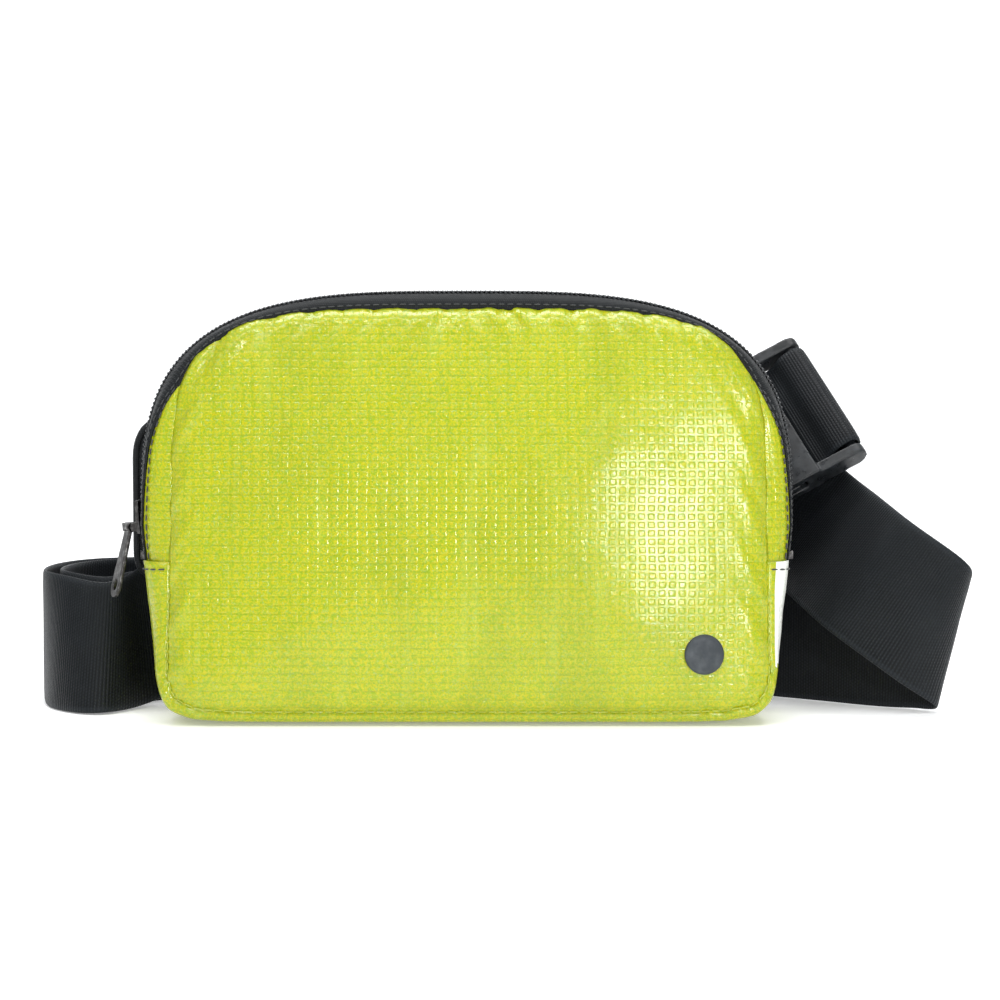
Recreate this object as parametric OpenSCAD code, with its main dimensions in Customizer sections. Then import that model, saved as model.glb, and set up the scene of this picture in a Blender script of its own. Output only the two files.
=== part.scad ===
// Belt bag with a curved zip, a webbing belt, a side-release buckle and a strap adjuster.
// Origin: centre of the bag's flat bottom.
// +X to the right as seen from the front, +Y to the back, +Z up.

/* [Bag] */
// Width of the bag over the zip line
bag_w = 234; // [230:1:236]
// Height of the bag over the zip
bag_h = 154; // [150:1:158]
// Depth of the bag at its base
bag_d = 52; // [50:1:54]
// Height of the widest point of the bag
waist_z = 70; // [64:1:76]
// Thickness of the laminated outer shell
shell_t = 1.4; // [1:0.1:1.6]
// Thickness of the foam in the back panel
foam_t = 4; // [3:0.5:5]

/* [Zip] */
// Height at which the zip starts on both sides
zip_low = 57; // [54:1:60]
// Visible width of each half of the zip tape
tape_w = 6.5; // [5:0.5:8]
// Width of each row of coil
coil_w = 2.2; // [1.8:0.1:2.4]
// Height of the closed slider above the floor
slider_z = 73; // [72:0.5:75]
// Length of the pull tab
pull_len = 26; // [20:1:30]

/* [Belt] */
// Width of the webbing
web_w = 50; // [48:1:50]
// Thickness of the webbing
web_t = 1.6; // [1.2:0.1:1.8]

/* [Buckle] */
// Width of the buckle over its side rails
buckle_w = 62; // [61:1:64]
// Thickness of the buckle's socket
socket_t = 10; // [9:0.5:11]
// Radius of the bars that carry the webbing
bar_r = 2.6; // [2.2:0.1:2.8]

/* [Hidden] */
$fn = 48;
eps = 0.1;

// ---- Bag frame ----
y_front = -bag_d / 2;
y_back = bag_d / 2;
half_w = bag_w / 2;
top_power = 3.25;
low_power = 8;
flare = 0.045;
outline_step = 5;
panel_inset = 10;
panel_drop = 7.5;
panel_power = 4.5;
panel_low_power = 8;
panel_back_lean = 6.2;
panel_t = 1.6;
floor_gap = 1.8;
fit_gap = 0.3;

// ---- Zip frame ----
zip_y = 0;
coil_gap = 0.8;
tape_t = 1.2;
coil_t = 2.4;
tape_front_y = zip_y - coil_gap - coil_w - tape_w;
tape_back_y = zip_y + coil_gap + coil_w + tape_w;
// The slider runs on this circle, which follows the side of the zip line.
slide_r = 119.4;
slide_centre = [slide_r - half_w, zip_y, 82.4];
slider_tilt = asin((slide_centre[2] - slider_z) / slide_r);
slider_len = 12;
slider_w = 9;
slider_plate = 1.4;
slider_clear = 0.9;
neck_w = 1;
neck_len = 3;
bail_r = 0.9;
bail_out = 3.2;
bail_z = -3.5;
bail_half = 4.7;
lug_t = 1.2;
lug_y = 3.85;
lug_h = 3;
knuckle_wall = 0.9;
pull_w = 8;
pull_neck = 5;
pull_t = 1.4;
pull_swing = 18;
// The pin stands across the slider at this angle, so the pull lies at a slant.
pull_yaw = 28;
pull_eye_r = 2.1;
pin_gap = 0.06;

function signed_power(v, p) = sign(v) * pow(abs(v), p);

// Closed outline of the bag in front view: flat-bottomed, widest at the waist, round-shouldered.
function bag_outline(w, top, low, n_top, n_low) = [
    for (a = [0:outline_step:360 - outline_step])
        let (
            s = sin(a),
            n = s > 0 ? n_top : n_low,
            rise = s > 0 ? top - waist_z : waist_z - low,
            z = waist_z + rise * signed_power(s, 2 / n),
            taper = 1 - flare * max(0, waist_z - z) / waist_z
        )
        [w * taper * signed_power(cos(a), 2 / n), z]
];

module outline_slab(points, y0, y1) {
    translate([0, y1, 0])
        rotate([90, 0, 0])
            linear_extrude(y1 - y0)
                polygon(points);
}

// A wall that follows the outline, between two depths.
module outline_band(grow, wall, y0, y1) {
    difference() {
        outline_slab(bag_outline(half_w + grow, bag_h + grow, -grow, top_power, low_power), y0, y1);
        outline_slab(
            bag_outline(half_w + grow - wall, bag_h + grow - wall, wall - grow, top_power, low_power),
            y0 - eps, y1 + eps);
    }
}

module above(z) {
    translate([-bag_w, -bag_d * 2, z])
        cube([bag_w * 2, bag_d * 4, bag_h * 2]);
}

// ---- Laminate shell ----
module place_on_front() {
    translate([0, y_front, floor_gap])
        rotate([-panel_back_lean, 0, 0])
            children();
}

module front_panel() {
    color([0.72, 0.80, 0.10])
        place_on_front()
            outline_slab(
                bag_outline(half_w - panel_inset, bag_h - panel_drop - floor_gap, 0,
                            panel_power, panel_low_power),
                0, panel_t);
}

strip_top = bag_h - 30;
strip_step = 4;
strip_clear = 0.6;

// Half width at a height of the outlines drawn above.
function half_at(w, top, n_top, n_low, z) =
    z > waist_z
        ? w * pow(1 - pow((z - waist_z) / (top - waist_z), n_top), 1 / n_top)
        : w * (1 - flare * (waist_z - z) / waist_z) * pow(1 - pow((waist_z - z) / waist_z, n_low), 1 / n_low);

function front_y_at(z) = y_front + (z - floor_gap) * tan(panel_back_lean);

// Wedge of laminate between the front panel's edge and the zip tape, narrow at its top.
module side_strip(side) {
    heights = [for (z = zip_low + fit_gap; z <= strip_top; z = z + strip_step) z];
    rows = len(heights);
    points = [
        for (z = heights)
            let (
                x_front = half_at(half_w - panel_inset, bag_h - panel_drop, panel_power, panel_low_power, z)
                    + strip_clear,
                x_back = half_at(half_w, bag_h, top_power, low_power, z),
                y_near = front_y_at(z) + panel_t,
                y_far = max(tape_front_y - fit_gap, y_near + 1)
            )
            each [
                [side * x_front, y_near, z], [side * x_back, y_far, z],
                [side * (x_back - shell_t), y_far, z], [side * (x_front - 0.2), y_near + shell_t, z]
            ]
    ];
    last = 4 * (rows - 1);
    walls = [
        for (i = [0:rows - 2], j = [0:3])
            let (a = 4 * i + j, b = 4 * i + (j + 1) % 4)
            each [[a, b + 4, b], [a, a + 4, b + 4]]
    ];
    caps = [[0, 1, 2], [0, 2, 3], [last, last + 2, last + 1], [last, last + 3, last + 2]];
    faces = concat(walls, caps);
    color([0.74, 0.82, 0.14])
        polyhedron(points = points, faces = side > 0 ? [for (f = faces) [f[0], f[2], f[1]]] : faces);
}

module side_strip_left() {
    side_strip(-1);
}

module side_strip_right() {
    side_strip(1);
}

gusset_front = 10;
corner_w = 22;

module bottom_gusset() {
    color([0.70, 0.78, 0.12])
        difference() {
            union() {
                outline_band(0, shell_t, y_front + gusset_front, y_back - foam_t);
                flat_bottom();
            }
            above(zip_low);
        }
}

// The flat bottom wall runs forward under the front panel.
module flat_bottom() {
    translate([-half_w + corner_w, y_front, 0])
        cube([bag_w - 2 * corner_w, bag_d - foam_t, shell_t]);
}

module back_gusset() {
    color([0.10, 0.11, 0.12])
        intersection() {
            outline_band(0, shell_t, tape_back_y + fit_gap, y_back - foam_t);
            above(zip_low + fit_gap);
        }
}

module back_foam() {
    color([0.30, 0.31, 0.32])
        outline_slab(
            bag_outline(half_w - 5, bag_h - 5, 5, top_power, low_power),
            y_back - foam_t + fit_gap, y_back - shell_t);
}

module back_panel() {
    color([0.08, 0.09, 0.10])
        outline_slab(
            bag_outline(half_w - 4, bag_h - 4, 4, top_power, low_power),
            y_back - shell_t, y_back);
}

module back_binding() {
    color([0.06, 0.06, 0.07])
        outline_band(0, 3.6, y_back - foam_t + fit_gap, y_back + 0.4);
}

pocket_w = 160;
pocket_h = 92;
pocket_t = 0.8;

module inner_pocket() {
    color([0.16, 0.17, 0.19])
        translate([-pocket_w / 2, y_back - foam_t - pocket_t - 0.2, 12])
            cube([pocket_w, pocket_t, pocket_h]);
}

badge_r = 7;
badge_t = 1.2;
badge_rim = 1.6;
badge_dish = 0.5;
badge_boss_r = 3.6;
badge_x = 84;
badge_z = 24;

module badge() {
    color([0.16, 0.18, 0.19])
        place_on_front()
            translate([badge_x, -badge_t, badge_z])
                rotate([-90, 0, 0]) {
                    difference() {
                        cylinder(h = badge_t, r = badge_r);
                        translate([0, 0, -eps])
                            cylinder(h = badge_dish + eps, r = badge_r - badge_rim);
                    }
                    cylinder(h = badge_t, r = badge_boss_r);
                }
}

// ---- Zip ----
module zip_arch(grow, wall, y0, y1, low) {
    intersection() {
        outline_band(grow, wall, y0, y1);
        above(low);
    }
}

module zip_tape_front() {
    color([0.09, 0.10, 0.11])
        zip_arch(0, tape_t, tape_front_y, tape_front_y + tape_w, zip_low + fit_gap);
}

module zip_tape_back() {
    color([0.09, 0.10, 0.11])
        zip_arch(0, tape_t, tape_back_y - tape_w, tape_back_y, zip_low + fit_gap);
}

stop_h = 3;
stop_t = 2.8;

module zip_coil_front() {
    color([0.20, 0.21, 0.22])
        zip_arch(0.6, coil_t, zip_y - coil_gap - coil_w, zip_y - coil_gap, zip_low + stop_h + 1);
}

module zip_coil_back() {
    color([0.20, 0.21, 0.22])
        zip_arch(0.6, coil_t, zip_y + coil_gap, zip_y + coil_gap + coil_w, zip_low + stop_h + 1);
}

module zip_stop(side) {
    stop_w = 2 * (coil_gap + coil_w);
    color([0.45, 0.45, 0.46])
        translate([side * (half_w - 0.4) - stop_t / 2, zip_y - stop_w / 2, zip_low + 0.6])
            cube([stop_t, stop_w, stop_h]);
}

module zip_stop_left() {
    zip_stop(-1);
}

module zip_stop_right() {
    zip_stop(1);
}

// The slider's own frame: origin on the zip line, +X inwards, +Z up along the zip.
module place_on_slide() {
    translate(slide_centre)
        rotate([0, -slider_tilt, 0])
            translate([-slide_r, 0, 0])
                children();
}

out_face = 0.6 + slider_clear;
in_face = coil_t - 0.6 + slider_clear;
pivot_x = -out_face - slider_plate - bail_out;

// Curved plate of the slider, on the circle that it runs round.
module slide_plate(r) {
    intersection() {
        translate([slide_r, -slider_w / 2, 0])
            rotate([-90, 0, 0])
                difference() {
                    cylinder(h = slider_w, r = r + slider_plate);
                    translate([0, 0, -eps])
                        cylinder(h = slider_w + 2 * eps, r = r);
                }
        translate([-bail_out * 2, -slider_w, -slider_len / 2])
            cube([bail_out * 4, slider_w * 2, slider_len]);
    }
}

module zip_slider() {
    neck_sink = 0.5;
    color([0.30, 0.30, 0.32])
        place_on_slide() {
            slide_plate(slide_r + out_face);
            slide_plate(slide_r - in_face - slider_plate);
            translate([-out_face - neck_sink, -neck_w / 2, slider_len / 2 - neck_len])
                cube([out_face + in_face + 2 * neck_sink, neck_w, neck_len]);
            for (side = [-1, 1])
                slider_lug(side);
            translate([pivot_x, 0, bail_z])
                rotate([0, 0, pull_yaw])
                    translate([0, -bail_half, 0])
                        rotate([-90, 0, 0])
                            cylinder(h = 2 * bail_half, r = bail_r);
        }
}

// Lug from the outer plate to one end of the slanted pin.
module slider_lug(side) {
    pin_end = pivot_x - side * bail_half * sin(pull_yaw) - bail_r;
    translate([pin_end, side * lug_y - lug_t / 2, bail_z - lug_h / 2])
        cube([-out_face - slider_plate / 2 - pin_end, lug_t, lug_h]);
}

module pull_tab() {
    color([0.33, 0.32, 0.31])
        place_on_slide()
            translate([pivot_x, 0, bail_z])
                rotate([0, 0, pull_yaw])
                    rotate([0, pull_swing, 0])
                        rotate([90, 0, 0])
                            pull_profile();
}

// Flat pull: a knuckle on the slider's pin, a blade that widens and a round end with an eye.
module pull_profile() {
    bore_r = bail_r + pin_gap;
    end_y = -pull_len + pull_w / 2;
    difference() {
        union() {
            translate([0, 0, -pull_neck / 2])
                cylinder(h = pull_neck, r = bore_r + knuckle_wall);
            translate([-pull_t / 2, 0, 0])
                rotate([0, 90, 0])
                    linear_extrude(pull_t)
                        polygon([
                            [-pull_neck / 2, -bore_r], [pull_neck / 2, -bore_r],
                            [pull_w / 2, end_y], [-pull_w / 2, end_y]
                        ]);
            translate([-pull_t / 2, end_y, 0])
                rotate([0, 90, 0])
                    cylinder(h = pull_t, r = pull_w / 2);
        }
        translate([0, 0, -pull_neck])
            cylinder(h = 2 * pull_neck, r = bore_r);
        translate([-pull_t, end_y + 0.6, 0])
            rotate([0, 90, 0])
                cylinder(h = pull_t * 2, r = pull_eye_r);
    }
}

// ---- Wings that carry the belt ----
wing_t = 2.2;
wing_out = 7;

module wing(side) {
    color([0.09, 0.10, 0.11])
        mirror([side > 0 ? 1 : 0, 0, 0])
            translate([0, y_back + 0.5 + wing_t, 0])
                rotate([90, 0, 0])
                    linear_extrude(wing_t)
                        polygon([
                            [-half_w - wing_out, 52],
                            [-half_w - wing_out, 98],
                            [-half_w - wing_out + 4, 106],
                            [-half_w + 24, 106],
                            [-38, 92],
                            [-38, 40],
                            [-half_w + 18, 34]
                        ]);
}

module wing_left() {
    wing(-1);
}

module wing_right() {
    wing(1);
}

// ---- Webbing ribbons ----
// A station is [centre, width direction]. A ribbon is swept through a smooth curve of stations.
sub_steps = 5;

function unit(v) = v / norm(v);

function curve_at(p0, p1, p2, p3, t) =
    0.5 * (2 * p1 + (p2 - p0) * t + (2 * p0 - 5 * p1 + 4 * p2 - p3) * t * t
           + (3 * p1 - p0 - 3 * p2 + p3) * t * t * t);

function pick(list, i) = list[min(max(i, 0), len(list) - 1)];

function smooth(list, k, first, last) = [
    for (i = [first:last - 1], j = [0:sub_steps - 1])
        curve_at(pick(list, i - 1)[k], pick(list, i)[k], pick(list, i + 1)[k], pick(list, i + 2)[k],
                 j / sub_steps),
    pick(list, last)[k]
];

// Neighbouring ribbons of one route share their end section, because directions come from the whole route.
module ribbon(route, first, last) {
    mid = smooth(route, 0, 0, len(route) - 1);
    wide = [for (w = smooth(route, 1, 0, len(route) - 1)) unit(w)];
    start = first * sub_steps;
    count = (last - first) * sub_steps + 1;
    points = [
        for (i = [start:start + count - 1])
            let (
                along = unit(pick(mid, i + 1) - pick(mid, i - 1)),
                across = wide[i],
                face = unit(cross(along, across)) * web_t / 2,
                edge = across * web_w / 2
            )
            each [mid[i] - edge - face, mid[i] + edge - face, mid[i] + edge + face, mid[i] - edge + face]
    ];
    sides = [
        for (i = [0:count - 2], j = [0:3])
            let (a = 4 * i + j, b = 4 * i + (j + 1) % 4)
            each [[a, b, b + 4], [a, b + 4, a + 4]]
    ];
    end = 4 * (count - 1);
    polyhedron(
        points = points,
        faces = concat(sides, [[0, 3, 2], [0, 2, 1], [end, end + 1, end + 2], [end, end + 2, end + 3]]));
}

upright = [0, 0, 1];
leaning = [0, 0.28, 0.96];
layer_gap = 7.6;
adj_y = 84.2;
adj_z = 32;
strap_y = y_back + 0.5 + wing_t + 0.4 + web_t / 2;

left_route = [
    [[-58, strap_y, 76], [-0.64, 0, 0.77]],
    [[-82, strap_y, 56], [-0.64, 0, 0.77]],
    [[-104, strap_y + 1.4, 37], [-0.5, 0, 0.86]],
    [[-120, 28.8, 28], [-0.18, 0.04, 0.98]],
    [[-134, 14, 24.3], leaning],
    [[-151, 20, 24.6], [0.05, 0.2, 0.98]],
    [[-161, 40, 25], upright],
    [[-161, 68, 25], upright],
    [[-150, 90, 25], upright],
    [[-128, 99, 25], upright],
    [[-90, 97, 26], upright],
    [[-50, 92, 29], upright],
    [[-18, 88.4, adj_z], upright],
    [[2, adj_y + layer_gap / 2, adj_z], upright]
];

tail_route = [
    [[2, adj_y - layer_gap / 2, adj_z], upright],
    [[-18, 81, adj_z], upright],
    [[-50, 85.5, 29], upright],
    [[-90, 91, 26], upright],
    [[-126, 93.5, 25], upright],
    [[-145, 86, 25], upright],
    [[-155, 66, 25], upright],
    [[-155, 43, 25], upright],
    [[-147, 27, 24.6], [0.05, 0.2, 0.98]],
    [[-135, 22, 24.3], leaning],
    [[-126, 31, 25], [-0.05, 0.12, 1]],
    [[-118, 39, 25], upright],
    [[-106, 46, 25], upright]
];

// ---- Buckle frame ----
bar_mid = [135.7, 56, 114];
tilt_x = 52;
tilt_y = -28;

function turn_buckle(v) =
    let (
        y1 = v[1] * cos(tilt_x) - v[2] * sin(tilt_x),
        z1 = v[1] * sin(tilt_x) + v[2] * cos(tilt_x)
    )
    [v[0] * cos(tilt_y) + z1 * sin(tilt_y), y1, z1 * cos(tilt_y) - v[0] * sin(tilt_y)];

function in_buckle(v) = bar_mid + turn_buckle(v);

bar_axis = turn_buckle([0, 1, 0]);
wrap_r = bar_r + web_t / 2 + 0.5;

right_route = [
    [[44.2, adj_y, adj_z], upright],
    [[66, 78, 29], upright],
    [[88, 68.5, 26], upright],
    [[110, 56, 25], upright],
    [[132, 40, 25], upright],
    [[152, 25, 25], [0.02, 0, 1]],
    [[167, 18, 25.2], [0.08, 0, 1]],
    [[178, 8, 26.5], [0.23, 0, 0.97]],
    [[167, 0, 36], [0.5, 0, 0.86]],
    [[148, 9, 50], [0.61, 0, 0.79]],
    [[138, 26, 59], [0.61, 0, 0.79]],
    [[129, 47, 67.6], [0.57, 0.02, 0.82]],
    [[118, 62, 81], [0.35, 0.15, 0.92]],
    [in_buckle([-40, -5, -20]), [0, 0.4, 0.92]],
    [in_buckle([-44, -2, -14]), [-0.25, 0.55, 0.8]],
    [in_buckle([-36, 0, -9]), bar_axis],
    [in_buckle([-20, 0, -7.6]), bar_axis],
    [in_buckle([-9, 0, -6.9]), bar_axis]
];

wrap_route = concat(
    [[in_buckle([-7, 0, -6]), bar_axis], [in_buckle([-3.2, 0, -4.5]), bar_axis]],
    [for (a = [-90:30:90]) [in_buckle([wrap_r * cos(a), 0, wrap_r * sin(a)]), bar_axis]],
    [
        [in_buckle([-5, 0, 2.8]), bar_axis],
        [in_buckle([-9.5, 0, -0.6]), bar_axis]
    ]);

plug_bar_x = -71;

tab_route = concat(
    [
        [[44, strap_y, 66], [-0.47, 0, 0.88]],
        [[54, strap_y + 5, 71.5], [-0.46, 0.1, 0.87]],
        [in_buckle([plug_bar_x - 9, 0, 2.6]), bar_axis],
        [in_buckle([plug_bar_x, 0, wrap_r]), bar_axis]
    ],
    [for (a = [60:-30:-60]) [in_buckle([plug_bar_x + wrap_r * cos(a), 0, wrap_r * sin(a)]), bar_axis]],
    [
        [in_buckle([plug_bar_x, 0, -wrap_r]), bar_axis],
        [in_buckle([plug_bar_x - 9, 0, -1.6]), bar_axis]
    ]);

web_dark = [0.07, 0.08, 0.09];

module strap_left_end() {
    color(web_dark)
        ribbon(left_route, 0, 2);
}

module strap_left_loop() {
    color(web_dark)
        ribbon(left_route, 2, 9);
}

module strap_far_run() {
    color(web_dark)
        ribbon(left_route, 9, 13);
}

module strap_tail() {
    color(web_dark)
        ribbon(tail_route, 0, 12);
}

module strap_back_run() {
    color(web_dark)
        ribbon(right_route, 0, 5);
}

module strap_right_turn() {
    color(web_dark)
        ribbon(right_route, 5, 8);
}

module strap_rise() {
    color(web_dark)
        ribbon(right_route, 8, 12);
}

module strap_buckle_return() {
    color(web_dark)
        ribbon(right_route, 12, 17);
}

module strap_bar_wrap() {
    color(web_dark)
        ribbon(wrap_route, 0, len(wrap_route) - 1);
}

module buckle_tab() {
    color(web_dark)
        ribbon(tab_route, 0, len(tab_route) - 1);
}

// ---- Adjuster behind the bag ----
adj_x = 4;
adj_h = 61;
adj_bar_r = 1.6;
adj_pitch = 18;
adj_rail = 4;

module adjuster() {
    color([0.12, 0.13, 0.14])
        for (i = [0:2])
            translate([adj_x + i * adj_pitch, adj_y, adj_z - adj_h / 2])
                cylinder(h = adj_h, r = adj_bar_r);
    color([0.12, 0.13, 0.14])
        for (z = [adj_z - adj_h / 2, adj_z + adj_h / 2 - adj_rail])
            translate([adj_x - adj_bar_r, adj_y - adj_bar_r, z])
                cube([2 * (adj_pitch + adj_bar_r), 2 * adj_bar_r, adj_rail]);
}

// Webbing turned round one bar of the adjuster; way is +1 or -1 along X.
module bar_fold(x, way, reach) {
    r_in = (layer_gap - web_t) / 2;
    translate([x, adj_y, adj_z - web_w / 2])
        mirror([way > 0 ? 0 : 1, 0, 0])
            linear_extrude(web_w)
                union() {
                    intersection() {
                        difference() {
                            circle(r = r_in + web_t);
                            circle(r = r_in);
                        }
                        translate([0, -10])
                            square([10, 20]);
                    }
                    for (side = [-1, 1])
                        translate([-reach, side > 0 ? r_in : -r_in - web_t])
                            square([reach, web_t]);
                }
}

module strap_adjuster_fold() {
    color(web_dark)
        bar_fold(adj_x, 1, 1.6);
}

module strap_adjuster_loop() {
    color(web_dark)
        bar_fold(adj_x + 2 * adj_pitch, -1, 3);
}

// ---- Side-release buckle ----
rail_t = 4.6;
rail_h = 8;
window_x = -15;
mouth_x = -44;
cavity_h = 5;
cavity_w = 46;
slot_h = 3.6;

module place_buckle() {
    translate(bar_mid)
        rotate([tilt_x, tilt_y, 0])
            children();
}

// Rail at one side of a buckle half, from its round end at the webbing bar to the body.
module side_rail(side, bar_x, body_x, h) {
    translate([0, (side * (buckle_w - rail_t) - rail_t) / 2, 0]) {
        translate([min(bar_x, body_x), 0, -h / 2])
            cube([abs(body_x - bar_x), rail_t, h]);
        translate([bar_x, 0, 0])
            rotate([-90, 0, 0])
                cylinder(h = rail_t, r = h / 2);
    }
}

module buckle_socket() {
    color([0.13, 0.14, 0.15])
        place_buckle() {
            translate([0, -buckle_w / 2, 0])
                rotate([-90, 0, 0])
                    cylinder(h = buckle_w, r = bar_r);
            for (side = [-1, 1])
                side_rail(side, 0, window_x - eps, rail_h);
            difference() {
                translate([mouth_x, -buckle_w / 2, -socket_t / 2])
                    cube([window_x - mouth_x, buckle_w, socket_t]);
                translate([mouth_x - eps, -cavity_w / 2, -cavity_h / 2])
                    cube([window_x - mouth_x - 3, cavity_w, cavity_h]);
                for (side = [-1, 1])
                    translate([
                        mouth_x - eps,
                        (side > 0 ? cavity_w : -buckle_w) / 2 - eps,
                        -slot_h / 2
                    ])
                        cube([window_x - mouth_x - 6, (buckle_w - cavity_w) / 2 + 2 * eps, slot_h]);
            }
        }
}

prong_y = 17;
prong_root_x = -48;
prong_tip_x = -24;
plug_t = 4;
plug_frame_t = 6;
plug_body_x = -57;
plug_body_len = 12.4;
prong_seat = 8;
prong_w = 3.2;
pad_len = 14;
pad_t = 3;
pivot_r = 1.4;

module buckle_plug() {
    color([0.13, 0.14, 0.15])
        place_buckle() {
            translate([plug_bar_x, -buckle_w / 2, 0])
                rotate([-90, 0, 0])
                    cylinder(h = buckle_w, r = bar_r);
            for (side = [-1, 1])
                side_rail(side, plug_bar_x, plug_body_x + eps, plug_frame_t);
            difference() {
                translate([plug_body_x, -buckle_w / 2, -plug_frame_t / 2])
                    cube([plug_body_len, buckle_w, plug_frame_t]);
                for (side = [-1, 1])
                    translate([prong_root_x - prong_seat / 2, side * prong_y - prong_seat / 2, -plug_t / 2 - 0.2])
                        cube([prong_seat, prong_seat, plug_t + 0.4]);
            }
            for (side = [-1, 1])
                translate([prong_root_x, side * prong_y, -plug_frame_t / 2])
                    cylinder(h = plug_frame_t, r = pivot_r);
            translate([mouth_x - 1, -5, -plug_t / 2])
                cube([18, 10, plug_t]);
        }
}

// One spring arm with its thumb pad, which reaches out through the socket's side slot.
module prong(side) {
    color([0.15, 0.16, 0.17])
        place_buckle()
            mirror([0, side > 0 ? 0 : 1, 0])
                difference() {
                    union() {
                        translate([prong_root_x, prong_y, -plug_t / 2])
                            cylinder(h = plug_t, r = 3);
                        translate([prong_root_x, prong_y - prong_w / 2, -plug_t / 2])
                            cube([prong_tip_x - prong_root_x, prong_w, plug_t]);
                        translate([prong_tip_x - pad_len, prong_y + 1, -pad_t / 2])
                            cube([pad_len, buckle_w / 2 - prong_y - 1, pad_t]);
                    }
                    translate([prong_root_x, prong_y, -plug_t])
                        cylinder(h = 2 * plug_t, r = pivot_r + pin_gap);
                }
}

module prong_upper() {
    prong(1);
}

module prong_lower() {
    prong(-1);
}

front_panel();
side_strip_left();
side_strip_right();
bottom_gusset();
back_gusset();
back_panel();
back_foam();
back_binding();
inner_pocket();
zip_tape_front();
zip_tape_back();
zip_coil_front();
zip_coil_back();
zip_stop_left();
zip_stop_right();
zip_slider();
pull_tab();
badge();
wing_left();
wing_right();
strap_left_end();
strap_left_loop();
strap_far_run();
strap_adjuster_fold();
strap_tail();
adjuster();
strap_adjuster_loop();
strap_back_run();
strap_right_turn();
strap_rise();
strap_buckle_return();
strap_bar_wrap();
buckle_tab();
buckle_socket();
buckle_plug();
prong_upper();
prong_lower();
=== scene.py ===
import math
import bpy
from mathutils import Matrix, Vector, noise


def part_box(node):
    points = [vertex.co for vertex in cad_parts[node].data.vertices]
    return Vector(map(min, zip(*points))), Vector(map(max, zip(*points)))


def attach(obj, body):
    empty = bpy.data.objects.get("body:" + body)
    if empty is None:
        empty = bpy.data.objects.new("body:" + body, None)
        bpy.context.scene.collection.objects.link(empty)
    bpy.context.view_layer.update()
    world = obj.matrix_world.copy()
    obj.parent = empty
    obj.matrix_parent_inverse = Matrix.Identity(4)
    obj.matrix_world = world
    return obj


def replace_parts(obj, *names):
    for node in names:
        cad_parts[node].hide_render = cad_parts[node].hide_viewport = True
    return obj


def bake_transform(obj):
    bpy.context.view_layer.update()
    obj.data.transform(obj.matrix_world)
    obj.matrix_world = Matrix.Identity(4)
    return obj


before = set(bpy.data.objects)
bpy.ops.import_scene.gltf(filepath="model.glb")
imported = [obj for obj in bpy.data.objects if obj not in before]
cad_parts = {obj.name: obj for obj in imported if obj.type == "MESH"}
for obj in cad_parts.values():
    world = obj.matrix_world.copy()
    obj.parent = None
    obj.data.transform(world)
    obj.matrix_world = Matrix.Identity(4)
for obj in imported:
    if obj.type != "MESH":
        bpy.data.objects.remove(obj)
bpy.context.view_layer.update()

MM = 0.001

# ---------------------------------------------------------------- camera, floor, lights
scene = bpy.context.scene
scene.view_settings.view_transform = "Standard"


def aim(obj, target):
    obj.rotation_euler = (Vector(target) - obj.location).to_track_quat("-Z", "Y").to_euler()


camera = bpy.data.objects.new("camera", bpy.data.cameras.new("camera"))
camera.data.lens = 85
camera.data.sensor_width = 36
camera.location = (0.012, -0.854, 0.130)
aim(camera, (0.012, -0.026, 0.0804))
scene.collection.objects.link(camera)
scene.camera = camera


def area_light(name, place, target, size, power):
    lamp = bpy.data.lights.new(name, "AREA")
    lamp.shape = "RECTANGLE"
    lamp.size, lamp.size_y = size
    lamp.energy = power
    obj = bpy.data.objects.new(name, lamp)
    obj.location = place
    scene.collection.objects.link(obj)
    aim(obj, target)


area_light("key", (-0.75, -1.0, 1.25), (0, 0, 0.07), (0.9, 0.9), 6)
area_light("softbox_right", (0.40, -1.05, 0.25), (0.06, -0.03, 0.085), (0.17, 0.19), 4.6)
area_light("rim_top", (0.05, 0.10, 0.95), (0, 0, 0.1), (0.9, 0.25), 3)
area_light("strip_top", (0, -0.50, 0.85), (0, -0.02, 0.14), (0.9, 0.07), 3)
area_light("backdrop_wash", (0, 0.35, 1.6), (0, 1.4, 0.5), (1.8, 0.6), 20)

world = bpy.data.worlds.new("studio")
scene.world = world
world.use_nodes = True
world.node_tree.nodes["Background"].inputs["Color"].default_value = (0.93, 0.95, 0.97, 1)
world.node_tree.nodes["Background"].inputs["Strength"].default_value = 0.55


# ---------------------------------------------------------------- material helpers
COLOUR_A, COLOUR_B, COLOUR_OUT = 6, 7, 2    # the Mix node's colour sockets, which share names with others


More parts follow.
